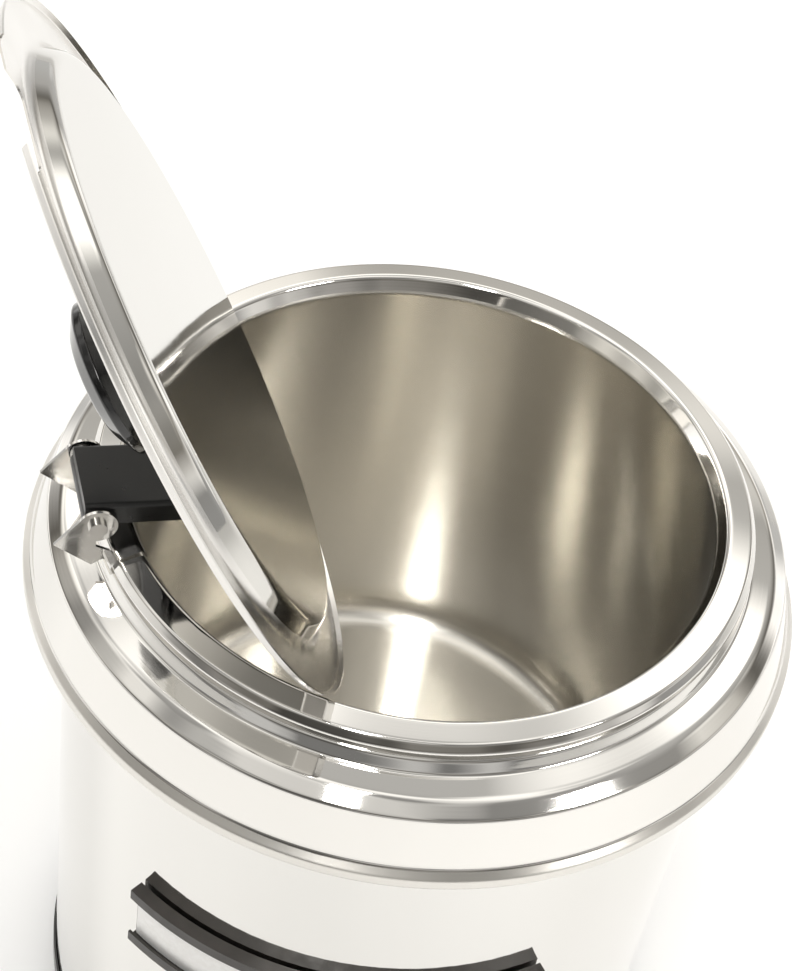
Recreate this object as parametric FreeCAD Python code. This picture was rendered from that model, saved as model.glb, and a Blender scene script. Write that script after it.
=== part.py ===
import FreeCAD, Part
import math
import os
from FreeCAD import Vector as V

# A round countertop soup kettle: a water-bath body that heats a lift-out inset pot, with a
# stainless lid on a black hinge arm. Millimetres, +Z up, the feet stand on z = 0 and the
# kettle's axis is the Z axis. The front, with the label and the dial, faces -Y.

# ---- Driving sizes ----
# Overall
opening_height = 366.0      # plane of the pot's mouth above the counter
opening_radius = 125.0      # clear mouth of the pot, the standard 11 quart inset
# Inset pot
pot_sheet = 0.9
pot_depth = 228.0
pot_corner = 14.0
pot_lead_in = 2.5           # the wall stands this far inside the mouth
rim_width = 14.0
rim_crown = 1.2             # top of the rim above the mouth's plane
rim_drop = 8.6              # lower edge of the rim's roll below the mouth's plane
# Collar and shell
collar_sheet = 0.9
throat_gap = 3.2            # air between the pot and the collar's throat
seat_gap = 0.4              # the rim's roll above the collar's seat
shoulder_run = 19.5         # from the seat's edge out to the fold
gutter_run, gutter_drop = 3.0, 15.0       # groove round the rim, out from the seat's edge
shelf_run, shelf_drop = 13.0, 17.0        # nearly level shelf outside the groove
fold_drop = 21.5
band_flare = 6.0
band_drop = 44.0
lip_reach = 3.5
lip_drop = 55.0
lip_overhang = 17.5         # the lip stands out from the shell
throat_depth = 26.0
shell_sheet = 0.8
# Water bath and heater
well_sheet = 0.9
bath_depth = 27.0           # water under the pot
plate_radius, plate_thick = 100.0, 3.0
element_ring, element_tube = 80.0, 4.0
baffle_drop, baffle_margin, baffle_sheet = 24.0, 8.0, 0.6
# Base
foot_height, foot_top, foot_bottom, foot_circle = 12.0, 14.0, 12.0, 118.0
pan_sheet, pan_lip = 1.0, 12.0
shell_fit = 0.3             # gap between the shell and the base pan's lip
stud_radius = 3.0
screw_radius, screw_head = 2.0, 5.0
slot_count, slot_inner, slot_outer, slot_half = 12, 58.0, 92.0, 2.5
# Hinge
hinge_azimuth = 202.7       # direction from the axis to the hinge, degrees from +X
pin_offset, pin_rise = 2.0, 12.0          # hinge pin outside the rim and above the mouth
pivot_reach, pivot_rise = 79.4, 11.2      # the lid's pivot from the axis, above the mouth
pin_radius, pivot_pin_radius = 2.5, 2.0
running_gap = 0.05          # radial clearance of a turning pin
side_gap = 0.3              # sideways clearance between moving pieces
arm_width, arm_wall, arm_web = 34.0, 3.0, 3.2
arm_top_outer, arm_top_inner = 8.8, 4.6   # top of the arm above the pin and the pivot
arm_eye = 5.5
washer_thick, ear_sheet, ear_eye = 1.7, 1.3, 8.0
strap_sheet, strap_half_angle = 1.2, 12.0
lid_open_angle = 117.5
# Lid
lid_overhang, lid_sheet = 1.5, 0.8
flange_rise = 2.8           # underside of the closed lid's flange above the mouth
panel_drop, panel_inset = 8.0, 10.5       # the pressed panel fits inside the mouth
panel_slope, panel_bend = 7.0, 6.0
lid_edge_turn = 2.2
notch_width, notch_depth, notch_corner, notch_offset = 42.0, 16.5, 5.0, 4.5
lug_gap, lug_sheet, lug_plate = 2.7, 1.3, 32.0    # gap from the arm's wall to a lug
knob_radius, knob_height, knob_head = 31.0, 44.0, 22.0
knob_neck, knob_foot = 10.0, 15.0
knob_stud_radius, knob_stud_length = 3.0, 34.0
# Controls
dial_height, dial_shaft, dial_radius, dial_depth = 82.0, 3.0, 21.0, 22.0
panel_thick, panel_height = 1.2, 62.0
panel_left, panel_right = 13.0, 24.0      # degrees each side of the front
pilot_turn, pilot_radius = 15.0, 5.0
bushing_radius = 5.0
gland_azimuth, gland_height, gland_radius = 78.0, 40.0, 9.0
# Label
label_drop, label_height, label_half_angle = 150.0, 38.0, 35.3
label_depth, label_wall, label_lip, label_web = 6.0, 1.2, 6.0, 2.0
pad_thick, card_thick, card_gap = 1.1, 0.5, 0.4

# ---- Sizes that follow ----
mouth = opening_height
pot_radius = opening_radius - pot_lead_in
pot_floor = mouth - pot_depth
rim_outer = opening_radius + rim_width
seat_z = mouth - rim_drop - seat_gap
throat_radius = pot_radius + pot_sheet + throat_gap
seat_edge = rim_outer - 2.0
fold_radius = seat_edge + shoulder_run
band_radius = fold_radius + band_flare
lip_radius = band_radius + lip_reach
shell_radius = lip_radius - lip_overhang
shell_inner = shell_radius - shell_sheet
well_radius = throat_radius + collar_sheet
well_floor = pot_floor - pot_sheet - bath_depth
plate_top = well_floor - well_sheet
plate_bottom = plate_top - plate_thick
baffle_top = plate_top - baffle_drop
pan_top = foot_height + pan_sheet
lid_radius = rim_outer + lid_overhang
panel_radius = opening_radius - panel_inset
flange_z = mouth + flange_rise
panel_z = flange_z - panel_drop
panel_top = panel_z + lid_sheet
pin_x, pin_z = rim_outer + pin_offset, mouth + pin_rise
pivot_x, pivot_z = pivot_reach, mouth + pivot_rise
arm_half = arm_width / 2
lug_spacing = arm_half - arm_wall - lug_gap - lug_sheet
ear_inner = arm_half + side_gap + washer_thick
ear_outer = ear_inner + ear_sheet
label_top = mouth - label_drop
label_bottom = label_top - label_height
label_back = shell_radius + pad_thick

ORIGIN, AXIS = V(0, 0, 0), V(0, 0, 1)
parts = {}


# ---- Sheet-metal and turning helpers ----
def offset_points(points, distance):
    """Moves a profile's points sideways, to the left of its direction, with mitred corners."""
    normals = []
    for (r0, z0), (r1, z1) in zip(points, points[1:]):
        length = math.hypot(r1 - r0, z1 - z0)
        normals.append((-(z1 - z0) / length, (r1 - r0) / length))
    moved = []
    for i, (r, z) in enumerate(points):
        a = normals[max(i - 1, 0)]
        b = normals[min(i, len(normals) - 1)]
        share = distance / (1 + a[0] * b[0] + a[1] * b[1])
        moved.append((r + (a[0] + b[0]) * share, z + (a[1] + b[1]) * share))
    return moved


def offset_radii(points, radii, distance):
    """The corner radii that keep an offset profile parallel to the first one."""
    changed = []
    for i, radius in enumerate(radii):
        (r0, z0), (r1, z1), (r2, z2) = points[i:i + 3]
        turn = (r1 - r0) * (z2 - z1) - (z1 - z0) * (r2 - r1)
        changed.append(max(radius - distance, 0) if turn > 0 else max(radius + distance, 0))
    return changed


def rounded_edges(points, radii):
    """Edges of a profile in the XZ plane, each corner rounded by its own radius."""
    corners = [V(r, 0, z) for r, z in points]
    edges, start = [], corners[0]
    for before, corner, after, radius in zip(corners, corners[1:], corners[2:], radii):
        if radius > 1e-6:
            back, forth = (before - corner).normalize(), (after - corner).normalize()
            half = back.getAngle(forth) / 2
            middle = (back + forth).normalize()
            first = corner + back * (radius / math.tan(half))
            last = corner + forth * (radius / math.tan(half))
            crest = corner + middle * (radius / math.sin(half) - radius)
            edges.append(Part.LineSegment(start, first).toShape())
            edges.append(Part.Arc(first, crest, last).toShape())
            start = last
        else:
            edges.append(Part.LineSegment(start, corner).toShape())
            start = corner
    edges.append(Part.LineSegment(start, corners[-1]).toShape())
    return edges


def sheet_face(points, radii, thickness):
    """A strip of sheet beside a profile: to its left if thickness is positive, else right."""
    other = offset_points(points, thickness)
    near = rounded_edges(points, radii)
    far = rounded_edges(other, offset_radii(points, radii, thickness))
    ends = [Part.LineSegment(V(*a), V(*b)).toShape() for a, b in (
        ((points[0][0], 0, points[0][1]), (other[0][0], 0, other[0][1])),
        ((points[-1][0], 0, points[-1][1]), (other[-1][0], 0, other[-1][1])))]
    return Part.Face(Part.Wire(Part.__sortEdges__(near + far + ends)))


def spun(points, radii, thickness):
    """A spun sheet part: the strip turned right round the kettle's axis."""
    return sheet_face(points, radii, thickness).revolve(ORIGIN, AXIS, 360)


def turned(points, angle=360.0, start=0.0):
    """A solid of revolution from a closed outline of (radius, height) points."""
    face = Part.Face(Part.makePolygon([V(r, 0, z) for r, z in points + points[:1]]))
    solid = face.revolve(ORIGIN, AXIS, angle)
    solid.rotate(ORIGIN, AXIS, start)
    return solid


def cylinder(radius, length, base, direction):
    return Part.makeCylinder(radius, length, base, direction)


def ring(outer, inner, length, base, direction):
    return cylinder(outer, length, base, direction).cut(cylinder(inner, length, base, direction))


def block(x0, x1, y0, y1, z0, z1):
    return Part.makeBox(x1 - x0, y1 - y0, z1 - z0, V(x0, y0, z0))


def plate_across(outline, y0, y1):
    """A flat outline of (x, z) points, given a thickness from y0 to y1."""
    face = Part.Face(Part.makePolygon([V(x, y0, z) for x, z in outline + outline[:1]]))
    return face.extrude(V(0, y1 - y0, 0))


def across(radius, x, z, half_length):
    """A round bar along Y, centred on the hinge's middle plane."""
    return cylinder(radius, 2 * half_length, V(x, -half_length, z), V(0, 1, 0))


def placed(shape, azimuth):
    copy = shape.copy()
    copy.rotate(ORIGIN, AXIS, azimuth)
    return copy


def at_hinge(shape):
    """From the hinge's own frame, hinge towards +X and pin along Y, to the kettle's."""
    return placed(shape, hinge_azimuth)


def opened(shape):
    """Turns a piece of the closed lid about its pivot to where the open lid stands."""
    copy = shape.copy()
    copy.rotate(V(pivot_x, 0, pivot_z), V(0, 1, 0), lid_open_angle)
    return at_hinge(copy)


def spread_round(shape, count, first=0.0):
    return [placed(shape, first + 360.0 * i / count) for i in range(count)]


# ---- Inset pot ----
rim_points = [(opening_radius + 1.5, mouth + rim_crown), (rim_outer - 2.5, mouth - 0.1),
              (rim_outer, mouth - 3.4), (rim_outer, mouth - rim_drop + 1.8),
              (rim_outer - 3.0, mouth - rim_drop)]
rim_radii = [2.4, 2.0, 1.8, 1.6]


def make_inset_pot():
    """Deep spun pot whose top is rolled out into a flat rim."""
    points = [(0, pot_floor), (pot_radius, pot_floor), (pot_radius, mouth - 6.0)] + rim_points
    return spun(points, [pot_corner, 4.0] + rim_radii, -pot_sheet)


# ---- Hinge on the rim ----
def strap_points():
    """The part of the rim's surface that the hinge's strap wraps over."""
    inner = (opening_radius - 0.1, mouth - 1.68)
    return [inner] + rim_points[:3] + [(rim_outer, mouth - rim_drop + 2.1)]


def make_rim_core():
    """Everything under the middle of the strap, so that the ears stop inside the strap."""
    points = strap_points()
    middle = offset_points(points, strap_sheet / 2)
    edges = rounded_edges(middle, offset_radii(points, rim_radii[:3], strap_sheet / 2))
    low = mouth - rim_drop - 1.0
    corners = [V(middle[-1][0], 0, middle[-1][1]), V(middle[-1][0], 0, low),
               V(middle[0][0], 0, low), V(middle[0][0], 0, middle[0][1])]
    closing = [Part.LineSegment(a, b).toShape() for a, b in zip(corners, corners[1:])]
    wire = Part.Wire(Part.__sortEdges__(edges + closing))
    return Part.Face(wire).revolve(ORIGIN, AXIS, 360)


def make_hinge_bracket():
    """A strap over the rim with two upright ears that carry the hinge pin."""
    face = sheet_face(strap_points(), rim_radii[:3], strap_sheet)
    strap = face.revolve(ORIGIN, AXIS, 2 * strap_half_angle)
    strap.rotate(ORIGIN, AXIS, -strap_half_angle)
    outer = rim_outer - 1.4
    neck = lid_radius + 1.0
    outline = [(outer, mouth - 6.0), (outer, mouth - 1.5), (neck, mouth + 0.9),
               (neck, mouth + 5.0), (pin_x - 7.4, pin_z - 3.1), (pin_x, pin_z),
               (pin_x + 5.0, pin_z + 6.3), (pin_x + 17.0, pin_z - 8.0),
               (pin_x + 2.2, mouth - 9.4)]
    core = make_rim_core()
    bracket = strap
    for side in (-1, 1):
        low, high = sorted((side * ear_inner, side * ear_outer))
        ear = plate_across(outline, low, high)
        eye = cylinder(ear_eye, ear_sheet, V(pin_x, low, pin_z), V(0, 1, 0))
        bracket = bracket.fuse(ear.fuse(eye).cut(core))
    bracket = bracket.cut(across(pin_radius, pin_x, pin_z, ear_outer + 1))
    return bracket.removeSplitter()


def make_hinge_pin():
    head, head_radius = 2.0, pin_radius + 1.2
    pin = across(pin_radius, pin_x, pin_z, ear_outer + head)
    for side in (-1, 1):
        start = V(pin_x, side * ear_outer, pin_z)
        pin = pin.fuse(cylinder(head_radius, head, start, V(0, side, 0)))
    return pin.removeSplitter()


def make_hinge_washers():
    washers = []
    for side in (-1, 1):
        start = V(pin_x, side * (arm_half + side_gap), pin_z)
        washers.append(ring(5.0, pin_radius, washer_thick, start, V(0, side, 0)))
    return Part.makeCompound(washers)


# ---- Hinge arm ----
def make_hinge_arm():
    """A black channel, open below and forked at its inner end round the lid's lugs."""
    outer, inner = pin_x + 4.5, pivot_x - 5.0
    outline = [(outer, pin_z - 2.0), (outer, pin_z + arm_top_outer),
               (inner, pivot_z + arm_top_inner), (inner, pivot_z - 3.0),
               (pivot_x, pivot_z - 5.0), (pin_x - 6.0, pin_z - 2.2)]
    arm = plate_across(outline, -arm_half, arm_half)
    arm = arm.fuse(across(arm_eye, pin_x, pin_z, arm_half)).removeSplitter()
    top_edges = [e for e in arm.Edges if e.BoundBox.XLength > 50
                 and e.BoundBox.ZMin > pivot_z + arm_top_inner - 1]
    arm = arm.makeFillet(2.0, top_edges)
    low = mouth - 5.0
    slope = (pin_z + arm_top_outer - pivot_z - arm_top_inner) / (outer - inner)
    end = outer - arm_wall
    pocket_half = arm_half - arm_wall
    under_inner = pivot_z + arm_top_inner - arm_web - slope * 10
    under_outer = pin_z + arm_top_outer - arm_web - slope * arm_wall
    pocket = plate_across([(inner - 10, low), (inner - 10, under_inner),
                           (end, under_outer), (end, low)], -pocket_half, pocket_half)
    fork = block(inner - 5, pivot_x + arm_eye + 3.5, -pocket_half, pocket_half, low, mouth + 40)
    arm = arm.cut(pocket).cut(fork)
    arm = arm.cut(across(pin_radius + running_gap, pin_x, pin_z, arm_half + 1))
    return arm.cut(across(pivot_pin_radius, pivot_x, pivot_z, arm_half + 1))


def make_lid_pivot_pin():
    head = 1.2
    pin = across(pivot_pin_radius, pivot_x, pivot_z, arm_half + head)
    for side in (-1, 1):
        start = V(pivot_x, side * arm_half, pivot_z)
        pin = pin.fuse(cylinder(pivot_pin_radius + 1.0, head, start, V(0, side, 0)))
    return pin.removeSplitter()


# ---- Lid, modelled closed ----
def make_lid_disc():
    """Pressed lid: a sunk panel, a flat flange with a turned-down edge, a ladle notch."""
    points = [(0, panel_z), (panel_radius, panel_z), (panel_radius + panel_slope, flange_z),
              (lid_radius - 1.0, flange_z), (lid_radius, flange_z - lid_edge_turn)]
    lid = spun(points, [panel_bend, panel_bend, 0.8], lid_sheet)
    low, high = panel_z - 5, flange_z + 5
    notch = block(-lid_radius - 5, -lid_radius + notch_depth,
                  -notch_width / 2, notch_width / 2, low, high)
    inner_edges = [e for e in notch.Edges
                   if e.BoundBox.ZLength > 5 and e.BoundBox.XMin > -lid_radius]
    notch = notch.makeFillet(notch_corner, inner_edges)
    hook = cylinder(4.0, high - low, V(-lid_radius + 10.5, notch_width / 2 - 1.0, low), AXIS)
    relief = block(-lid_radius - 5, -lid_radius + 5.4, -notch_width / 2 - 16,
                   -notch_width / 2 + 1, low, high)
    cutter = notch.fuse(hook).fuse(relief)
    cutter.rotate(ORIGIN, AXIS, -notch_offset)
    return lid.cut(cutter)


def make_lid_lugs():
    """A plate welded to the panel with two lugs that hang on the arm's pivot pin."""
    half, top = lug_plate / 2, panel_top + lug_sheet
    width = lug_spacing + lug_sheet + 2.0
    lugs = block(pivot_x - half, pivot_x + half, -width, width, panel_top, top)
    eye, foot = arm_eye, 11.0
    outline = [(pivot_x - foot, top - 0.5), (pivot_x + foot, top - 0.5),
               (pivot_x + eye - 0.3, pivot_z), (pivot_x - eye + 0.3, pivot_z)]
    for side in (-1, 1):
        low, high = sorted((side * lug_spacing, side * (lug_spacing + lug_sheet)))
        lug = plate_across(outline, low, high)
        lug = lug.fuse(cylinder(eye, lug_sheet, V(pivot_x, low, pivot_z), V(0, 1, 0)))
        lugs = lugs.fuse(lug)
    bore = across(pivot_pin_radius + running_gap, pivot_x, pivot_z, width)
    return lugs.cut(bore).removeSplitter()


def make_knob_stud():
    return cylinder(knob_stud_radius, knob_stud_length, V(0, 0, panel_top), AXIS)


def moulded(points, radii):
    """A solid of revolution from a rounded outline that starts and ends on the axis."""
    edges = rounded_edges(points, radii)
    edges.append(Part.LineSegment(V(0, 0, points[-1][1]), V(0, 0, points[0][1])).toShape())
    return Part.Face(Part.Wire(Part.__sortEdges__(edges))).revolve(ORIGIN, AXIS, 360)


def knob_parting():
    """Height at which the knob's head meets its stem."""
    return panel_top + knob_height - knob_head


def make_knob_stem(stud):
    """Waisted stem under the knob's head."""
    z, top = panel_top, knob_parting()
    points = [(0, z), (knob_foot, z), (knob_foot, z + 3), (knob_neck, z + 8),
              (knob_neck + 2, top), (0, top)]
    return moulded(points, [0.8, 1.5, 6.0, 0.0]).cut(stud)


def make_lid_knob(stud):
    """The knob's moulded head, wider towards its domed top."""
    z, rim = knob_parting(), knob_radius
    top = z + knob_head
    points = [(0, z), (knob_neck + 4, z), (rim - 3, top - 14), (rim, top - 10),
              (rim, top - 7), (rim - 9, top - 1.5), (0, top)]
    return moulded(points, [2.0, 6.0, 1.5, 1.5, 9.0]).cut(stud)


# ---- Collar, shell and water bath ----
def make_top_collar():
    """Spun ring: throat, seat for the pot's rim, groove, shoulder, band and rolled lip."""
    points = [(throat_radius, mouth - throat_depth), (throat_radius, seat_z),
              (seat_edge, seat_z), (seat_edge + gutter_run, mouth - gutter_drop),
              (seat_edge + shelf_run, mouth - shelf_drop), (fold_radius, mouth - fold_drop),
              (band_radius, mouth - band_drop), (lip_radius, mouth - band_drop - 3.5),
              (lip_radius, mouth - lip_drop + 3.0), (lip_radius - 2.5, mouth - lip_drop),
              (shell_radius, mouth - lip_drop), (shell_radius, mouth - lip_drop + 9.0)]
    return spun(points, [2.0, 3.0, 2.0, 8.0, 3.0, 4.0, 2.0, 2.0, 1.5, 1.5], -collar_sheet)


def make_outer_shell():
    """Straight wrapped shell with holes for the dial, the lamp and the cord."""
    top = mouth - fold_drop - 1.0
    shell = ring(shell_radius, shell_inner, top - pan_top, V(0, 0, pan_top), AXIS)
    dial = cylinder(bushing_radius, 20, V(0, -shell_radius + 10, dial_height), V(0, -1, 0))
    lamp = cylinder(pilot_radius, 20, V(0, -shell_radius + 10, dial_height), V(0, -1, 0))
    cord = cylinder(gland_radius, 20, V(shell_radius - 10, 0, gland_height), V(1, 0, 0))
    return shell.cut(dial).cut(placed(lamp, pilot_turn)).cut(placed(cord, gland_azimuth))


def make_water_well():
    """The bath's wall, welded to the collar's throat above and to its floor below."""
    low = well_floor - well_sheet
    return ring(well_radius + well_sheet, well_radius, seat_z - 3.0 - low, V(0, 0, low), AXIS)


def make_well_floor():
    return cylinder(well_radius, well_sheet, V(0, 0, well_floor - well_sheet), AXIS)


# ---- Heater ----
def make_heater_plate():
    return cylinder(plate_radius, plate_thick, V(0, 0, plate_bottom), AXIS)


def element_centre():
    return plate_bottom - element_tube


def make_heater_element():
    """A tubular ring with its two ends turned down as terminals at the front."""
    z = element_centre()
    element = Part.makeTorus(element_ring, element_tube, V(0, 0, z), AXIS)
    for turn in (-98, -82):
        leg = cylinder(2.5, 12, V(element_ring, 0, z - 12), AXIS)
        element = element.fuse(placed(leg, turn))
    return element


def make_heater_clamps():
    """Three saddles that hold the ring up against the plate."""
    reach, wide, thick = element_tube + 7, 7.0, 1.5
    low = element_centre() - element_tube - thick
    saddle = block(element_ring - reach, element_ring + reach, -wide, wide, low, plate_bottom)
    room = Part.makeTorus(element_ring, element_tube, V(0, 0, element_centre()), AXIS)
    above = block(element_ring - element_tube, element_ring + element_tube, -wide - 1, wide + 1,
                  element_centre(), plate_bottom + 1)
    saddle = saddle.cut(room).cut(above)
    return Part.makeCompound(spread_round(saddle, 3, 30))


def make_baffle():
    """Thin disc that keeps the heat off the base, with holes for stud and wires."""
    disc = cylinder(plate_radius + baffle_margin, baffle_sheet,
                    V(0, 0, baffle_top - baffle_sheet), AXIS)
    disc = disc.cut(cylinder(stud_radius, 2, V(0, 0, baffle_top - 1), AXIS))
    return disc.cut(cylinder(10, 2, V(0, -element_ring, baffle_top - 1), AXIS))


def make_baffle_posts():
    post = cylinder(3.0, plate_bottom - baffle_top, V(60, 0, baffle_top), AXIS)
    return Part.makeCompound(spread_round(post, 3, 90))


def make_thermal_cutout():
    """Small disc thermostat that trips if the bath boils dry."""
    base = cylinder(8.0, 7.0, V(0, 45, plate_bottom - 7.0), AXIS)
    terminals = block(-6, 6, 42, 48, plate_bottom - 12.0, plate_bottom - 7.0)
    return base.fuse(terminals)


# ---- Base ----
def make_foot_screw():
    shank = cylinder(screw_radius, 12.0, V(foot_circle, 0, 5.5), AXIS)
    head = cylinder(screw_head, 2.0, V(foot_circle, 0, 4.5), AXIS)
    nut = cylinder(screw_radius + 1.8, 2.5, V(foot_circle, 0, pan_top), AXIS)
    return shank.fuse(head).fuse(nut).removeSplitter()


def make_foot(screw):
    """Rubber foot with a recess for its screw."""
    points = [(0, 0), (foot_bottom - 1, 0), (foot_bottom, 1), (foot_top, foot_height),
              (0, foot_height)]
    foot = turned(points)
    foot.translate(V(foot_circle, 0, 0))
    recess = cylinder(screw_head, 6.5, V(foot_circle, 0, 0), AXIS)
    return foot.cut(recess).cut(screw)


def make_base_pan(screws):
    """Pressed pan with an upturned lip round the shell and a ring of cooling slots."""
    points = [(0, pan_top), (shell_radius + shell_fit, pan_top),
              (shell_radius + shell_fit, pan_top + pan_lip)]
    pan = spun(points, [0.2], -pan_sheet)
    slot = block(slot_inner, slot_outer, -slot_half, slot_half, 0, pan_top + 1)
    for x in (slot_inner, slot_outer):
        slot = slot.fuse(cylinder(slot_half, pan_top + 1, V(x, 0, 0), AXIS))
    for cutter in spread_round(slot, slot_count, 15) + screws:
        pan = pan.cut(cutter)
    return pan.cut(cylinder(stud_radius, pan_top + 1, ORIGIN, AXIS))


def make_tie_stud():
    low = foot_height - 8.0
    return cylinder(stud_radius, plate_bottom - low, V(0, 0, low), AXIS)


def make_tie_nut():
    across_corners, height = 6.4, 5.0
    z = foot_height - height
    points = [V(across_corners * math.cos(math.radians(60 * i)),
                across_corners * math.sin(math.radians(60 * i)), z) for i in range(7)]
    nut = Part.Face(Part.makePolygon(points)).extrude(V(0, 0, height))
    return nut.cut(cylinder(stud_radius, height, V(0, 0, z), AXIS))


# ---- Controls ----
def bent_round(inner, outer, left, right, low, high, corner=0.0):
    """A plate bent to the shell: radii, degrees each side of the front, heights."""
    plate = turned([(inner, low), (outer, low), (outer, high), (inner, high)],
                   left + right, -90.0 - left)
    if corner:
        x0 = -outer * math.sin(math.radians(left))
        x1 = outer * math.sin(math.radians(right))
        frame = block(x0, x1, -outer - 5, -inner * math.cos(math.radians(max(left, right))) + 5,
                      low, high)
        frame = frame.makeFillet(corner, [e for e in frame.Edges if e.BoundBox.YLength > 5])
        plate = plate.common(frame)
    return plate


def dial_axis(shape_depth, radius, start):
    """A round bar on the dial's axis, from start outwards towards the front."""
    return cylinder(radius, shape_depth, V(0, -start, dial_height), V(0, -1, 0))


def make_control_panel():
    panel = bent_round(shell_radius, shell_radius + panel_thick, panel_left, panel_right,
                       dial_height - panel_height / 2, dial_height + panel_height / 2, 5.0)
    lamp = cylinder(pilot_radius, 20, V(0, -shell_radius + 10, dial_height), V(0, -1, 0))
    return panel.cut(dial_axis(20, bushing_radius, shell_radius - 10)).cut(
        placed(lamp, pilot_turn))


panel_front = shell_radius + panel_thick
dial_back = panel_front + 2.0


def make_thermostat_body():
    """Box behind the shell with a threaded bushing through it."""
    back, front, half = shell_radius - 32.0, shell_radius - 6.5, 17.0
    body = block(-half, half, -front, -back, dial_height - half, dial_height + half)
    bushing = dial_axis(panel_front + 2.4 - front, bushing_radius, front)
    bore = dial_axis(40, dial_shaft + running_gap, front - 10)
    return body.fuse(bushing).cut(bore)


def make_thermostat_nut():
    thick, start = 2.0, panel_front + 0.1
    corners = [V(8 * math.cos(math.radians(60 * i)), -start,
                 dial_height + 8 * math.sin(math.radians(60 * i))) for i in range(7)]
    nut = Part.Face(Part.makePolygon(corners)).extrude(V(0, -thick, 0))
    return nut.cut(dial_axis(20, bushing_radius, start - 5))


def make_thermostat_shaft():
    start = shell_radius - 16.0
    return dial_axis(dial_back + 14.0 - start, dial_shaft, start)


def make_temperature_knob(shaft, marker):
    """Skirted dial with a raised grip bar across it."""
    skirt = dial_axis(8.0, dial_radius, dial_back)
    skirt = skirt.makeFillet(1.5, [max(skirt.Edges, key=lambda e: -e.CenterOfMass.y
                                       if e.Closed else -1e9)])
    grip_half, grip_length = 4.5, dial_radius - 1.5
    grip = block(-grip_half, grip_half, -dial_back - dial_depth, -dial_back - 6.0,
                 dial_height - grip_length, dial_height + grip_length)
    grip = grip.common(dial_axis(40, dial_radius - 1.5, dial_back))
    grip = grip.makeFillet(1.2, [e for e in grip.Edges
                                 if e.BoundBox.YMax < -dial_back - dial_depth + 0.1])
    hollow = dial_axis(3.0, 9.5, dial_back)
    return skirt.fuse(grip).removeSplitter().cut(hollow).cut(shaft).cut(marker)


def make_knob_marker():
    """Inlaid pointer line on the grip."""
    return block(-0.8, 0.8, -dial_back - dial_depth - 0.2, -dial_back - dial_depth + 1.0,
                 dial_height + 4.0, dial_height + dial_radius - 4.0)


def make_pilot_housing():
    bore = pilot_radius - 1.5
    tube = cylinder(pilot_radius, 24.0, V(0, -shell_radius + 20, dial_height), V(0, -1, 0))
    bezel = cylinder(pilot_radius + 1.8, 1.6, V(0, -panel_front - 0.3, dial_height), V(0, -1, 0))
    core = cylinder(bore, 30.0, V(0, -shell_radius + 8, dial_height), V(0, -1, 0))
    tube = tube.common(block(-20, 20, -panel_front - 1.9, 0, 0, mouth))
    return placed(tube.fuse(bezel).removeSplitter().cut(core), pilot_turn)


def make_pilot_lens():
    radius, start = pilot_radius - 1.5, panel_front - 8.0
    body = cylinder(radius, 11.5, V(0, -start, dial_height), V(0, -1, 0))
    tip = max(body.Edges, key=lambda e: -e.CenterOfMass.y if e.Closed else -1e9)
    return placed(body.makeFillet(radius * 0.7, [tip]), pilot_turn)


def make_terminal_block():
    """Ceramic block on the baffle's underside where the leads join."""
    body = block(-16, 16, 60, 78, baffle_top - baffle_sheet - 14, baffle_top - baffle_sheet)
    for x in (-9, 0, 9):
        body = body.cut(cylinder(2.0, 8, V(x, 69, baffle_top - baffle_sheet - 14), AXIS))
    return body


def make_cord_gland():
    """Moulded bush where the supply cord enters, low at the back."""
    axis = V(1, 0, 0)
    flange = cylinder(gland_radius + 3, 2.5, V(shell_radius + 0.6, 0, gland_height), axis)
    neck = cylinder(gland_radius, 14.0, V(shell_radius - 9.0, 0, gland_height), axis)
    boot = Part.makeCone(gland_radius - 1, gland_radius - 3.5, 14,
                         V(shell_radius + 3.1, 0, gland_height), axis)
    bore = cylinder(4.0, 60, V(shell_radius - 20, 0, gland_height), axis)
    gland = flange.fuse(neck).fuse(boot).removeSplitter().cut(bore)
    return placed(gland, gland_azimuth)


def make_gland_nut():
    nut = ring(gland_radius + 3, gland_radius, 4.0,
               V(shell_inner - 5.5, 0, gland_height), V(1, 0, 0))
    return placed(nut, gland_azimuth)


# ---- Label ----
def make_label_frame():
    """Curved channel that holds a slide-in card: a back, two webs and two front lips."""
    inner, front = label_back, label_back + label_depth
    half = label_half_angle
    back = bent_round(inner, inner + label_wall, half, half, label_bottom, label_top)
    frame = back
    for low, high, lip_low, lip_high in (
            (label_top - label_web, label_top, label_top - label_lip, label_top),
            (label_bottom, label_bottom + label_web, label_bottom, label_bottom + label_lip)):
        web = bent_round(inner, front, half, half, low, high)
        lip = bent_round(front - label_wall, front, half, half, lip_low, lip_high)
        frame = frame.fuse(web).fuse(lip)
    return frame.removeSplitter()


def make_label_pad():
    half, margin = label_half_angle - 4.0, 6.0
    return bent_round(shell_radius, label_back, half, half,
                      label_bottom + margin, label_top - margin)


def make_label_card():
    inner = label_back + label_wall + card_gap
    half = label_half_angle - 0.4
    return bent_round(inner, inner + card_thick, half, half,
                      label_bottom + label_web, label_top - label_web - card_gap)


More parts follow.
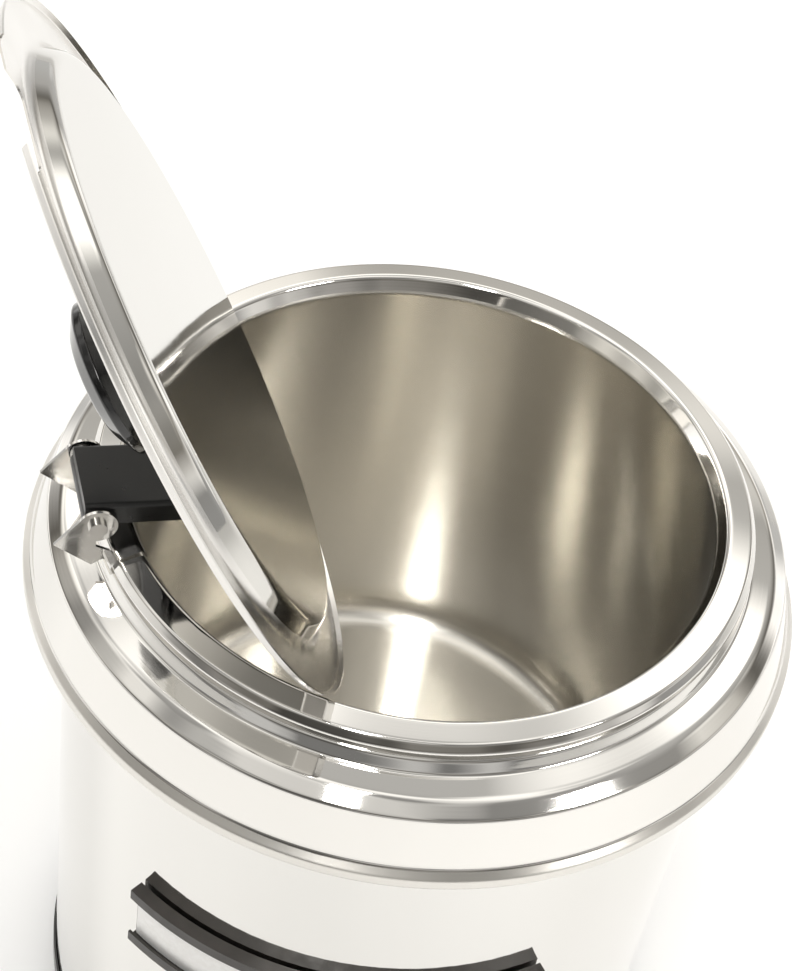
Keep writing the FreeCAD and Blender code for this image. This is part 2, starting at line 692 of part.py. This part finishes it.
# ---- Assembly ----
def build():
    parts["inset_pot"] = make_inset_pot()
    for name, maker in (("hinge_bracket", make_hinge_bracket), ("hinge_pin", make_hinge_pin),
                        ("hinge_washers", make_hinge_washers), ("hinge_arm", make_hinge_arm),
                        ("lid_pivot_pin", make_lid_pivot_pin)):
        parts[name] = at_hinge(maker())

    stud = make_knob_stud()
    for name, shape in (("lid_disc", make_lid_disc()), ("lid_lugs", make_lid_lugs()),
                        ("knob_stud", stud), ("knob_stem", make_knob_stem(stud)),
                        ("lid_knob", make_lid_knob(stud))):
        parts[name] = opened(shape)

    for maker in (make_top_collar, make_outer_shell, make_water_well, make_well_floor, make_heater_plate,
                  make_heater_element, make_heater_clamps, make_baffle, make_baffle_posts,
                  make_thermal_cutout, make_terminal_block, make_tie_stud, make_tie_nut,
                  make_control_panel, make_thermostat_body, make_thermostat_nut,
                  make_thermostat_shaft, make_knob_marker, make_pilot_housing,
                  make_pilot_lens, make_cord_gland, make_gland_nut, make_label_frame,
                  make_label_pad, make_label_card):
        parts[maker.__name__[5:]] = maker()
    parts["temperature_knob"] = make_temperature_knob(parts["thermostat_shaft"],
                                                      parts["knob_marker"])

    screw = make_foot_screw()
    screws = spread_round(screw, 4, 45)
    parts["base_pan"] = make_base_pan(screws)
    parts["foot_screws"] = Part.makeCompound(screws)
    for number, foot in enumerate(spread_round(make_foot(screw), 4, 45), 1):
        parts[f"foot_{number}"] = foot


build()
os.makedirs("parts", exist_ok=True)
for node, shape in parts.items():
    solids = shape.Solids
    print(f"{node}: {len(solids)} solid(s), {shape.Volume / 1000:.2f} cm3, valid {shape.isValid()}")
    shape.exportStep(f"parts/{node}.step")
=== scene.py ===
import math

import bmesh
import bpy
from mathutils import Matrix, Vector


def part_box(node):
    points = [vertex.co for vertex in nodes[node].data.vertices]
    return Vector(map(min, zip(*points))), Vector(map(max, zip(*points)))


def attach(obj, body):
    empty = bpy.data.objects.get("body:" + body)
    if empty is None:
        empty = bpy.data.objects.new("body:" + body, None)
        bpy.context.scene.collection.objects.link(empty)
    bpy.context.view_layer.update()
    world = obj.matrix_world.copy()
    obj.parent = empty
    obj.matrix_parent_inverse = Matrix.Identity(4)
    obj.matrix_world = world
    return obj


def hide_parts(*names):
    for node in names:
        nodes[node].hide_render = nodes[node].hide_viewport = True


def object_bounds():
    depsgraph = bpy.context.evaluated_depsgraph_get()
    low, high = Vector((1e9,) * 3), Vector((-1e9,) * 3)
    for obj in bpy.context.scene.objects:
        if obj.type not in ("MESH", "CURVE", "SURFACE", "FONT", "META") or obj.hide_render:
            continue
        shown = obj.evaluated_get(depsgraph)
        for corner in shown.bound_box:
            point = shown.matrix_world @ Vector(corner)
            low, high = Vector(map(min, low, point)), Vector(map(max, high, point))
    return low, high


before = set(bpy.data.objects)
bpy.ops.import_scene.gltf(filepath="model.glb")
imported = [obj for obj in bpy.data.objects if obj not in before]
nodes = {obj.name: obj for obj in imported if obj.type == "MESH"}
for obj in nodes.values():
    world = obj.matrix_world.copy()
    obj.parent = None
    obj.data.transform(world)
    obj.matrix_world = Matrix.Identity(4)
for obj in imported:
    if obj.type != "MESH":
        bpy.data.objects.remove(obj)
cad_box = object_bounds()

MM = 0.001
SHARP = math.radians(40)


# ---- Camera: stands in front of the kettle and looks down into the pot ----
def steering(pitch, yaw, roll):
    cp, sp, cy, sy, cr, sr = (f(a) for a in (pitch, yaw, roll) for f in (math.cos, math.sin))
    base = Matrix(((1, 0, 0), (0, 0, -1), (0, 1, 0)))
    tip = Matrix(((1, 0, 0), (0, cp, -sp), (0, sp, cp)))
    swing = Matrix(((cy, 0, sy), (0, 1, 0), (-sy, 0, cy)))
    tilt = Matrix(((cr, -sr, 0), (sr, cr, 0), (0, 0, 1)))
    return tilt @ swing @ tip @ base


POT_DEPTH, SHEET = 228.0, 0.9       # mm, inside depth of the pot and gauge of its sheet
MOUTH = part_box("inset_pot")[0].z + (POT_DEPTH + SHEET) * MM
PITCH, YAW, ROLL = 0.7958, 0.0144, 0.1961
CAMERA_BACK, CAMERA_UP = 0.6244, 0.62983        # metres from the middle of the pot's mouth
view = steering(PITCH, YAW, ROLL)
camera = bpy.data.objects.new("camera", bpy.data.cameras.new("camera"))
camera.data.sensor_fit = "HORIZONTAL"
camera.data.sensor_width = 36.0
camera.data.lens = 97.1
camera.data.clip_start = 0.01
turn = Matrix((view[0], -view[1], -view[2])).transposed()
camera.matrix_world = Matrix.Translation((0.0, -CAMERA_BACK, MOUTH + CAMERA_UP)) @ turn.to_4x4()
bpy.context.scene.collection.objects.link(camera)
bpy.context.scene.camera = camera


# ---- Node-material helpers ----
class Paint:
    """A Principled material with the few texture nodes that these finishes share."""

    def __init__(self, name, color, roughness, metallic=0.0, **sockets):
        self.mat = bpy.data.materials.new(name)
        self.mat.use_nodes = True
        self.tree = self.mat.node_tree
        self.shader = self.tree.nodes["Principled BSDF"]
        self.shader.inputs["Base Color"].default_value = (*color, 1)
        self.shader.inputs["Roughness"].default_value = roughness
        self.shader.inputs["Metallic"].default_value = metallic
        for key, value in sockets.items():
            self.shader.inputs[key.replace("_", " ")].default_value = value
        self.coords = self.node("ShaderNodeTexCoord").outputs["Object"]
        self.height = None

    def node(self, kind, **settings):
        made = self.tree.nodes.new(kind)
        for key, value in settings.items():
            setattr(made, key, value)
        return made

    def link(self, a, b):
        self.tree.links.new(a, b)

    def math(self, operation, a, b=None):
        made = self.node("ShaderNodeMath", operation=operation)
        for socket, value in zip(made.inputs, (a, b)):
            if value is None:
                continue
            if isinstance(value, (int, float)):
                socket.default_value = value
            else:
                self.link(value, socket)
        return made.outputs[0]

    def stretched(self, scale):
        made = self.node("ShaderNodeMapping")
        made.inputs["Scale"].default_value = scale
        self.link(self.coords, made.inputs["Vector"])
        return made.outputs[0]

    def noise(self, scale, detail=2.0, vector=None, rough=0.5):
        made = self.node("ShaderNodeTexNoise")
        made.inputs["Scale"].default_value = scale
        made.inputs["Detail"].default_value = detail
        made.inputs["Roughness"].default_value = rough
        self.link(vector or self.coords, made.inputs["Vector"])
        return made.outputs["Fac"]

    def round_lines(self, radial, upright):
        """Coordinates that vary only with radius and height, for marks left by spinning."""
        split = self.node("ShaderNodeSeparateXYZ")
        self.link(self.coords, split.inputs[0])
        x2 = self.math("MULTIPLY", split.outputs[0], split.outputs[0])
        y2 = self.math("MULTIPLY", split.outputs[1], split.outputs[1])
        radius = self.math("SQRT", self.math("ADD", x2, y2))
        angle = self.math("ARCTAN2", split.outputs[1], split.outputs[0])
        join = self.node("ShaderNodeCombineXYZ")
        self.link(self.math("MULTIPLY", radius, radial), join.inputs[0])
        self.link(self.math("MULTIPLY", self.math("SINE", angle), 0.35), join.inputs[1])
        self.link(self.math("MULTIPLY", split.outputs[2], upright), join.inputs[2])
        return join.outputs[0]

    def spread(self, factor, low, high):
        made = self.node("ShaderNodeMapRange")
        self.link(factor, made.inputs["Value"])
        made.inputs["From Min"].default_value = 0.25
        made.inputs["From Max"].default_value = 0.75
        made.inputs["To Min"].default_value = low
        made.inputs["To Max"].default_value = high
        return made.outputs[0]

    def vary_roughness(self, factor, low, high):
        self.link(self.spread(factor, low, high), self.shader.inputs["Roughness"])
        return self

    def vary_color(self, factor, low, high):
        ramp = self.node("ShaderNodeValToRGB")
        ramp.color_ramp.elements[0].position = 0.3
        ramp.color_ramp.elements[1].position = 0.7
        ramp.color_ramp.elements[0].color = (*low, 1)
        ramp.color_ramp.elements[1].color = (*high, 1)
        self.link(factor, ramp.inputs[0])
        self.link(ramp.outputs[0], self.shader.inputs["Base Color"])
        return self

    def bump(self, factor, strength, distance):
        made = self.node("ShaderNodeBump")
        made.inputs["Strength"].default_value = strength
        made.inputs["Distance"].default_value = distance
        self.link(factor, made.inputs["Height"])
        if self.height is not None:
            self.link(self.height, made.inputs["Normal"])
        self.height = made.outputs[0]
        self.link(self.height, self.shader.inputs["Normal"])
        return self

    def brushed(self, amount, turn_by):
        """Fine grooves that run round the axis and smear reflections across them."""
        tangent = self.node("ShaderNodeTangent", direction_type="RADIAL", axis="Z")
        self.shader.inputs["Anisotropic"].default_value = amount
        self.shader.inputs["Anisotropic Rotation"].default_value = turn_by
        self.link(tangent.outputs[0], self.shader.inputs["Tangent"])
        return self


def polished(name, color=(0.80, 0.785, 0.755), low=0.035, high=0.075, ripple=0.05, rings=True):
    p = Paint(name, color, low, 1.0)
    p.vary_roughness(p.noise(28, 4), low, high)
    p.bump(p.noise(9, 1.5), ripple, 0.004)
    if rings:
        p.bump(p.noise(1.0, 3, p.round_lines(900, 900)), 0.02, 0.0002)
    else:
        p.bump(p.noise(300, 3), 0.02, 0.0002)
    return p.mat


def make_materials():
    made = {"polished": polished("steel_polished")}
    made["shell"] = polished("steel_shell", (0.77, 0.76, 0.735), 0.03, 0.06, 0.03)
    made["lid"] = polished("steel_lid_panel", (0.68, 0.67, 0.64), 0.03, 0.07, 0.1, False)

    p = Paint("steel_lid_flange", (0.80, 0.785, 0.76), 0.2, 1.0)
    p.vary_roughness(p.noise(40, 4), 0.16, 0.26)
    made["lid_flange"] = p.bump(p.noise(420, 3), 0.03, 0.0002).mat

    p = Paint("steel_brushed_pot", (0.75, 0.725, 0.67), 0.24, 1.0)
    p.vary_roughness(p.noise(1.0, 5, p.round_lines(2400, 2400), 0.6), 0.18, 0.27)
    p.bump(p.noise(1.0, 3, p.round_lines(5200, 5200), 0.6), 0.02, 0.0001)
    p.bump(p.noise(11, 1.0), 0.05, 0.004)
    made["pot"] = p.brushed(0.8, 0.25).mat

    p = Paint("steel_brushed_lip", (0.74, 0.72, 0.68), 0.28, 1.0)
    p.bump(p.noise(1.0, 4, p.round_lines(3000, 3000), 0.7), 0.1, 0.0002)
    made["lip"] = p.brushed(0.7, 0.25).mat

    p = Paint("steel_pressed", (0.78, 0.765, 0.74), 0.12, 1.0)
    p.vary_roughness(p.noise(180, 3), 0.08, 0.2)
    p.bump(p.noise(260, 2), 0.06, 0.0003)
    made["pressed"] = p.mat

    p = Paint("zinc_plate", (0.62, 0.62, 0.6), 0.3, 1.0)
    p.vary_roughness(p.noise(300, 3), 0.22, 0.42)
    made["zinc"] = p.bump(p.noise(500, 2), 0.08, 0.0002).mat

    p = Paint("arm_black_paint", (0.012, 0.012, 0.012), 0.32, 0.0, Coat_Weight=0.15,
              Coat_Roughness=0.2)
    p.vary_roughness(p.noise(220, 3), 0.26, 0.42)
    made["arm"] = p.bump(p.noise(900, 2), 0.12, 0.0002).mat

    p = Paint("knob_black_phenolic", (0.006, 0.006, 0.0065), 0.08, 0.0, Coat_Weight=0.5,
              Coat_Roughness=0.04)
    p.vary_roughness(p.noise(60, 3), 0.06, 0.14)
    made["phenolic"] = p.bump(p.noise(120, 2), 0.03, 0.0004).mat

    p = Paint("label_holder_plastic", (0.035, 0.031, 0.028), 0.38)
    p.vary_color(p.noise(90, 3), (0.028, 0.025, 0.022), (0.045, 0.04, 0.036))
    p.bump(p.noise(1.0, 2, p.stretched((40, 40, 2500))), 0.12, 0.0002)
    made["holder"] = p.vary_roughness(p.noise(140, 3), 0.3, 0.48).mat

    p = Paint("card_white", (0.9, 0.89, 0.87), 0.75)
    p.vary_color(p.noise(400, 4), (0.86, 0.85, 0.83), (0.93, 0.925, 0.91))
    made["card"] = p.bump(p.noise(1500, 3), 0.1, 0.0001).mat

    p = Paint("panel_black", (0.018, 0.018, 0.019), 0.4)
    p.vary_roughness(p.noise(200, 3), 0.34, 0.5)
    made["panel"] = p.bump(p.noise(1400, 2), 0.2, 0.0001).mat

    p = Paint("rubber_black", (0.016, 0.016, 0.016), 0.7)
    p.vary_color(p.noise(150, 4), (0.012, 0.012, 0.012), (0.03, 0.03, 0.029))
    made["rubber"] = p.bump(p.noise(700, 3), 0.25, 0.0002).mat

    p = Paint("base_black_enamel", (0.014, 0.014, 0.014), 0.35, 0.0, Coat_Weight=0.2,
              Coat_Roughness=0.25)
    made["pan"] = p.bump(p.noise(500, 3), 0.15, 0.0002).vary_roughness(
        p.noise(120, 3), 0.28, 0.45).mat

    p = Paint("marker_white", (0.85, 0.85, 0.83), 0.5)
    made["marker"] = p.vary_roughness(p.noise(300, 2), 0.4, 0.6).mat

    p = Paint("lens_amber", (0.9, 0.34, 0.05), 0.1, 0.0, Transmission_Weight=0.6, IOR=1.49)
    made["lens"] = p.vary_roughness(p.noise(200, 2), 0.08, 0.16).mat

    p = Paint("aluminium_plain", (0.74, 0.74, 0.73), 0.35, 1.0)
    made["aluminium"] = p.vary_roughness(p.noise(80, 4), 0.28, 0.45).mat

    p = Paint("element_sheath", (0.16, 0.155, 0.15), 0.45, 0.9)
    made["sheath"] = p.vary_color(p.noise(70, 4), (0.12, 0.11, 0.10), (0.22, 0.2, 0.18)).mat

    p = Paint("ceramic_block", (0.82, 0.8, 0.74), 0.6)
    made["ceramic"] = p.bump(p.noise(400, 3), 0.15, 0.0002).mat
    return made


mats = make_materials()


# ---- Spun-sheet pieces, with the same profiles as the CAD solids but finer ----
def offset_points(points, distance):
    normals = []
    for (r0, z0), (r1, z1) in zip(points, points[1:]):
        length = math.hypot(r1 - r0, z1 - z0)
        normals.append((-(z1 - z0) / length, (r1 - r0) / length))
    moved = []
    for i, (r, z) in enumerate(points):
        a, b = normals[max(i - 1, 0)], normals[min(i, len(normals) - 1)]
        share = distance / (1 + a[0] * b[0] + a[1] * b[1])
        moved.append((r + (a[0] + b[0]) * share, z + (a[1] + b[1]) * share))
    return moved


def offset_radii(points, radii, distance):
    changed = []
    for i, radius in enumerate(radii):
        (r0, z0), (r1, z1), (r2, z2) = points[i:i + 3]
        side = (r1 - r0) * (z2 - z1) - (z1 - z0) * (r2 - r1)
        changed.append(max(radius - distance, 0.05) if side > 0 else max(radius + distance, 0.05))
    return changed


def rounded(points, radii, step=6.0):
    """Samples a profile with its corners rounded, with a support point beside each arc."""
    line = [Vector(points[0])]
    for before, corner, after, radius in zip(points, points[1:], points[2:], radii):
        before, corner, after = Vector(before), Vector(corner), Vector(after)
        u, v = (before - corner).normalized(), (after - corner).normalized()
        half = u.angle(v) / 2
        reach = radius / math.tan(half)
        centre = corner + (u + v).normalized() * (radius / math.sin(half))
        first, last = corner + u * reach, corner + v * reach
        gap = min(0.6, (first - line[-1]).length * 0.4)
        line.append(first + u * gap)
        count = max(2, round(math.degrees(math.pi - 2 * half) / step))
        start, end = first - centre, last - centre
        sweep = start.angle_signed(end)
        for i in range(count + 1):
            a = -sweep * i / count
            line.append(centre + Vector((start.x * math.cos(a) - start.y * math.sin(a),
                                         start.x * math.sin(a) + start.y * math.cos(a))))
        line.append(last + v * min(0.6, (after - last).length * 0.2))
    line.append(Vector(points[-1]))
    return line


def lathe(name, outline, closed, segments=256, material=None):
    """Turns an outline of (radius, height) in mm round the Z axis into a smooth mesh."""
    bm = bmesh.new()
    rings = []
    for p in outline:
        if p[0] < 1e-6:
            rings.append([bm.verts.new((0, 0, p[1] * MM))])
            continue
        rings.append([bm.verts.new((p[0] * MM * math.cos(math.tau * i / segments),
                                    p[0] * MM * math.sin(math.tau * i / segments), p[1] * MM))
                      for i in range(segments)])
    pairs = list(zip(rings, rings[1:])) + ([(rings[-1], rings[0])] if closed else [])
    for a, b in pairs:
        for i in range(segments):
            j = (i + 1) % segments
            if len(a) == 1 and len(b) == 1:
                break
            if len(a) == 1:
                bm.faces.new((a[0], b[i], b[j]))
            elif len(b) == 1:
                bm.faces.new((a[i], b[0], a[j]))
            else:
                bm.faces.new((a[i], b[i], b[j], a[j]))
    bmesh.ops.recalc_face_normals(bm, faces=bm.faces)
    mesh = bpy.data.meshes.new(name)
    bm.to_mesh(mesh)
    bm.free()
    mesh.polygons.foreach_set("use_smooth", [True] * len(mesh.polygons))
    mesh.set_sharp_from_angle(angle=SHARP)
    if material:
        mesh.materials.append(material)
    piece = bpy.data.objects.new(name, mesh)
    bpy.context.scene.collection.objects.link(piece)
    return piece


def sheet(points, radii, thickness):
    """The closed outline of a strip of sheet: along the profile and back beside it."""
    other = offset_points(points, thickness)
    return rounded(points, radii) + rounded(other, offset_radii(points, radii, thickness))[::-1]


def second_material(piece, material, wanted):
    piece.data.materials.append(material)
    for face in piece.data.polygons:
        if wanted(face.center):
            face.material_index = len(piece.data.materials) - 1


mouth = MOUTH / MM
RIM = [(126.5, mouth + 1.2), (136.5, mouth - 0.1), (139.0, mouth - 3.4), (139.0, mouth - 6.8),
       (136.0, mouth - 8.6)]


def make_pot():
    floor = mouth - POT_DEPTH
    points = [(0, floor), (122.5, floor), (122.5, mouth - 6)] + RIM
    pot = lathe("inset_pot_spun", sheet(points, [14, 4, 2.4, 2.0, 1.8, 1.6], -SHEET), False,
                material=mats["pot"])
    second_material(pot, mats["polished"],
                    lambda c: math.hypot(c.x, c.y) > 0.1232 and c.z > MOUTH - 0.012)
    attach(pot, "inset")
    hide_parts("inset_pot")


def make_collar():
    points = [(126.6, mouth - 26), (126.6, mouth - 9.0), (137, mouth - 9.0),
              (140, mouth - 15), (150, mouth - 17), (156.5, mouth - 21.5),
              (162.5, mouth - 44), (166, mouth - 47.5), (166, mouth - 52), (163.5, mouth - 55),
              (148.5, mouth - 55), (148.5, mouth - 46)]
    radii = [2, 3, 2, 8, 3, 4, 2, 2, 1.5, 1.5]
    collar = lathe("top_collar_spun", sheet(points, radii, -SHEET), True,
                   material=mats["polished"])
    second_material(collar, mats["lip"],
                    lambda c: math.hypot(c.x, c.y) > 0.1632 and c.z < MOUTH - 0.0445)
    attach(collar, "kettle")
    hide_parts("top_collar")


def cut(piece, cutters):
    for cutter in cutters:
        modifier = piece.modifiers.new("cut", "BOOLEAN")
        modifier.operation, modifier.solver, modifier.object = "DIFFERENCE", "EXACT", cutter
    graph = bpy.context.evaluated_depsgraph_get()
    mesh = bpy.data.meshes.new_from_object(piece.evaluated_get(graph))
    piece.modifiers.clear()
    piece.data = mesh
    mesh.set_sharp_from_angle(angle=SHARP)
    for cutter in cutters:
        bpy.data.objects.remove(cutter)


def prism(outline, low, high):
    """A cutter: an outline of (x, y) in mm, from one height to another."""
    bm = bmesh.new()
    under = [bm.verts.new((x * MM, y * MM, low * MM)) for x, y in outline]
    over = [bm.verts.new((x * MM, y * MM, high * MM)) for x, y in outline]
    bm.faces.new(under[::-1])
    bm.faces.new(over)
    for i in range(len(outline)):
        j = (i + 1) % len(outline)
        bm.faces.new((under[i], under[j], over[j], over[i]))
    bmesh.ops.recalc_face_normals(bm, faces=bm.faces)
    mesh = bpy.data.meshes.new("cutter")
    bm.to_mesh(mesh)
    bm.free()
    cutter = bpy.data.objects.new("cutter", mesh)
    bpy.context.scene.collection.objects.link(cutter)
    return cutter


HINGE = math.radians(202.7)
PIVOT = Vector((79.4, 0, mouth + 11.2)) * MM
LID_OPEN = math.radians(117.5)
LID_R, LID_SHEET = 140.5, 0.8
FLANGE = mouth + 2.8                 # underside of the closed lid's flange
PANEL = FLANGE - 8                   # underside of its pressed panel


def lid_place():
    """From the closed lid's frame, hinge towards +X, to where the open lid stands."""
    about = Matrix.Translation(PIVOT) @ Matrix.Rotation(LID_OPEN, 4, "Y")
    return Matrix.Rotation(HINGE, 4, "Z") @ about @ Matrix.Translation(-PIVOT)


def turned_by(points, angle):
    c, s = math.cos(angle), math.sin(angle)
    return [(x * c - y * s, x * s + y * c) for x, y in points]


def make_lid():
    points = [(0, PANEL), (114.5, PANEL), (121.5, FLANGE), (LID_R - 1, FLANGE),
              (LID_R, FLANGE - 2.2)]
    lid = lathe("lid_pressed", sheet(points, [6.0, 6.0, 0.8], LID_SHEET), False,
                material=mats["lid_flange"])
    second_material(lid, mats["lid"], lambda c: math.hypot(c.x, c.y) < 0.1185)
    inner, half, corner = -LID_R + 16.5, 21.0, 5.0
    notch = [(-LID_R - 5, -half)]
    for sign in (-1, 1):
        arc = []
        for i in range(7):
            a = math.pi / 2 * i / 6
            arc.append((inner - corner + corner * math.sin(a),
                        sign * (half - corner + corner * math.cos(a))))
        notch += arc if sign < 0 else arc[::-1]
    notch.append((-LID_R - 5, half))
    hook = [(-LID_R + 10.5 + 4 * math.cos(math.tau * i / 32),
             half - 1 + 4 * math.sin(math.tau * i / 32)) for i in range(32)]
    relief = [(-LID_R - 5, -half - 16), (-LID_R + 5.4, -half - 16), (-LID_R + 5.4, -half + 1),
              (-LID_R - 5, -half + 1)]
    swing = math.radians(-4.5)
    cut(lid, [prism(turned_by(o, swing), FLANGE - 13, FLANGE + 5) for o in (notch, hook, relief)])
    lid.data.transform(lid_place())
    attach(lid, "lid")
    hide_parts("lid_disc")


def make_knob():
    z = PANEL + LID_SHEET
    part, top = z + 22, z + 44
    points = [(0, z), (15, z), (15, z + 3), (10, z + 8), (12, part), (14, part),
              (28, top - 14), (31, top - 10), (31, top - 7), (22, top - 1.5), (0, top)]
    radii = [0.8, 1.5, 6, 1.0, 0.8, 6, 1.5, 1.5, 9]
    knob = lathe("lid_knob_moulded", rounded(points, radii), False, 128, mats["phenolic"])
    knob.data.transform(lid_place())
    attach(knob, "lid")
    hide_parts("lid_knob", "knob_stem")


def make_base():
    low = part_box("base_pan")[0].z / MM
    points = [(0, low + 1), (148.8, low + 1), (148.8, low + 13)]
    pan = lathe("base_pan_pressed", sheet(points, [0.2], -1.0), False, material=mats["pan"])
    slots, count, inner, outer, half = [], 12, 58, 92, 2.5
    for i in range(count):
        shape = [(end + side * half * math.sin(math.pi * k / 8),
                  side * half * math.cos(math.pi * k / 8))
                 for end, side in ((outer, 1), (inner, -1)) for k in range(9)]
        slots.append(prism(turned_by(shape, math.radians(15 + 360 / count * i)), low - 2, low + 3))
    cut(pan, slots)
    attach(pan, "kettle")
    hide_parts("base_pan")


make_pot()
make_collar()
make_lid()
make_knob()
make_base()


# ---- Finishes for the CAD nodes that keep their own shape ----
FINISH = {
    "shell": ["outer_shell"],
    "pot": ["water_well", "well_floor"],
    "pressed": ["hinge_bracket", "hinge_pin", "lid_pivot_pin", "lid_lugs"],
    "zinc": ["hinge_washers", "knob_stud", "heater_clamps", "baffle_posts", "tie_stud",
             "tie_nut", "thermostat_nut", "thermostat_shaft", "foot_screws"],
    "arm": ["hinge_arm"],
    "phenolic": ["temperature_knob", "thermostat_body", "pilot_housing", "thermal_cutout"],
    "aluminium": ["heater_plate", "baffle"],
    "sheath": ["heater_element"],
    "ceramic": ["terminal_block"],
    "panel": ["control_panel"],
    "marker": ["knob_marker", "gland_nut"],
    "lens": ["pilot_lens"],
    "rubber": ["cord_gland", "label_pad", "foot_1", "foot_2", "foot_3", "foot_4"],
    "holder": ["label_frame"],
    "card": ["label_card"],
}
for finish, names in FINISH.items():
    for name in names:
        for place in nodes[name].material_slots:
            place.material = mats[finish]


# ---- Stage and studio ----
def make_floor():
    mesh = bpy.data.meshes.new("floor")
    mesh.from_pydata([(-6, -6, 0), (6, -6, 0), (6, 6, 0), (-6, 6, 0)], [], [(0, 1, 2, 3)])
    floor = bpy.data.objects.new("floor", mesh)
    floor.location.z = cad_box[0][2] - 0.0002
    bpy.context.scene.collection.objects.link(floor)
    paint = Paint("floor_white", (0.93, 0.93, 0.93), 0.6)
    paint.vary_color(paint.noise(3, 2), (0.92, 0.92, 0.92), (0.94, 0.94, 0.94))
    mesh.materials.append(paint.mat)


def area_light(name, place, target, size, power, color=(1, 1, 1), size_y=None):
    light = bpy.data.lights.new(name, "AREA")
    light.shape = "RECTANGLE" if size_y else "SQUARE"
    light.size = size
    if size_y:
        light.size_y = size_y
    light.energy = power
    light.color = color
    lamp = bpy.data.objects.new(name, light)
    lamp.location = place
    lamp.rotation_euler = (Vector(target) - Vector(place)).to_track_quat("-Z", "Y").to_euler()
    bpy.context.scene.collection.objects.link(lamp)
    return lamp


def make_world():
    """A pale studio room: light below the horizon and overhead, warm dim patches between."""
    world = bpy.data.worlds.new("studio")
    bpy.context.scene.world = world
    world.use_nodes = True
    tree = world.node_tree

    def node(kind):
        return tree.nodes.new(kind)

    coords, split = node("ShaderNodeTexCoord"), node("ShaderNodeSeparateXYZ")
    tree.links.new(coords.outputs["Generated"], split.inputs[0])
    ramp = node("ShaderNodeValToRGB")
    tree.links.new(split.outputs[2], ramp.inputs[0])
    stops = ramp.color_ramp.elements
    stops[0].position, stops[0].color = 0.0, (0.9, 0.89, 0.87, 1)
    stops[1].position, stops[1].color = 1.0, (1.05, 1.03, 0.99, 1)
    for position, color in ((0.2, (0.8, 0.78, 0.75, 1)), (0.32, (0.24, 0.225, 0.2, 1)),
                            (0.55, (0.75, 0.73, 0.69, 1)), (0.75, (1.0, 0.98, 0.94, 1))):
        stops.new(position).color = color
    patches, dim = node("ShaderNodeTexNoise"), node("ShaderNodeMapRange")
    patches.inputs["Scale"].default_value = 2.3
    patches.inputs["Detail"].default_value = 1.0
    tree.links.new(coords.outputs["Generated"], patches.inputs["Vector"])
    tree.links.new(patches.outputs["Fac"], dim.inputs["Value"])
    for name, value in (("From Min", 0.45), ("From Max", 0.58), ("To Min", 0.4), ("To Max", 1.15)):
        dim.inputs[name].default_value = value
    behind, both = node("ShaderNodeMapRange"), node("ShaderNodeMath")
    both.operation = "MULTIPLY"
    tree.links.new(split.outputs[1], behind.inputs["Value"])
    for name, value in (("From Min", -0.6), ("From Max", 0.7), ("To Min", 0.6), ("To Max", 1.7)):
        behind.inputs[name].default_value = value
    tree.links.new(dim.outputs[0], both.inputs[0])
    tree.links.new(behind.outputs[0], both.inputs[1])
    tree.links.new(ramp.outputs[0], tree.nodes["Background"].inputs["Color"])
    tree.links.new(both.outputs[0], tree.nodes["Background"].inputs["Strength"])


make_floor()
make_world()
area_light("key_right", (1.7, -0.9, 1.9), (0, 0, 0.3), 0.5, 20, (1, 0.985, 0.96))
area_light("strip_front", (-0.15, -1.2, 2.3), (0, 0, 0.25), 0.25, 14, (1, 0.99, 0.97), 1.2)
for lamp in (area_light("fill_left", (-2.0, 0.2, 1.5), (0, 0, 0.3), 1.2, 12, (0.98, 0.99, 1)),
             area_light("back", (0.3, 2.4, 1.6), (0, 0, 0.3), 2.2, 18)):
    lamp.visible_glossy = False
bpy.context.scene.view_settings.view_transform = "Standard"
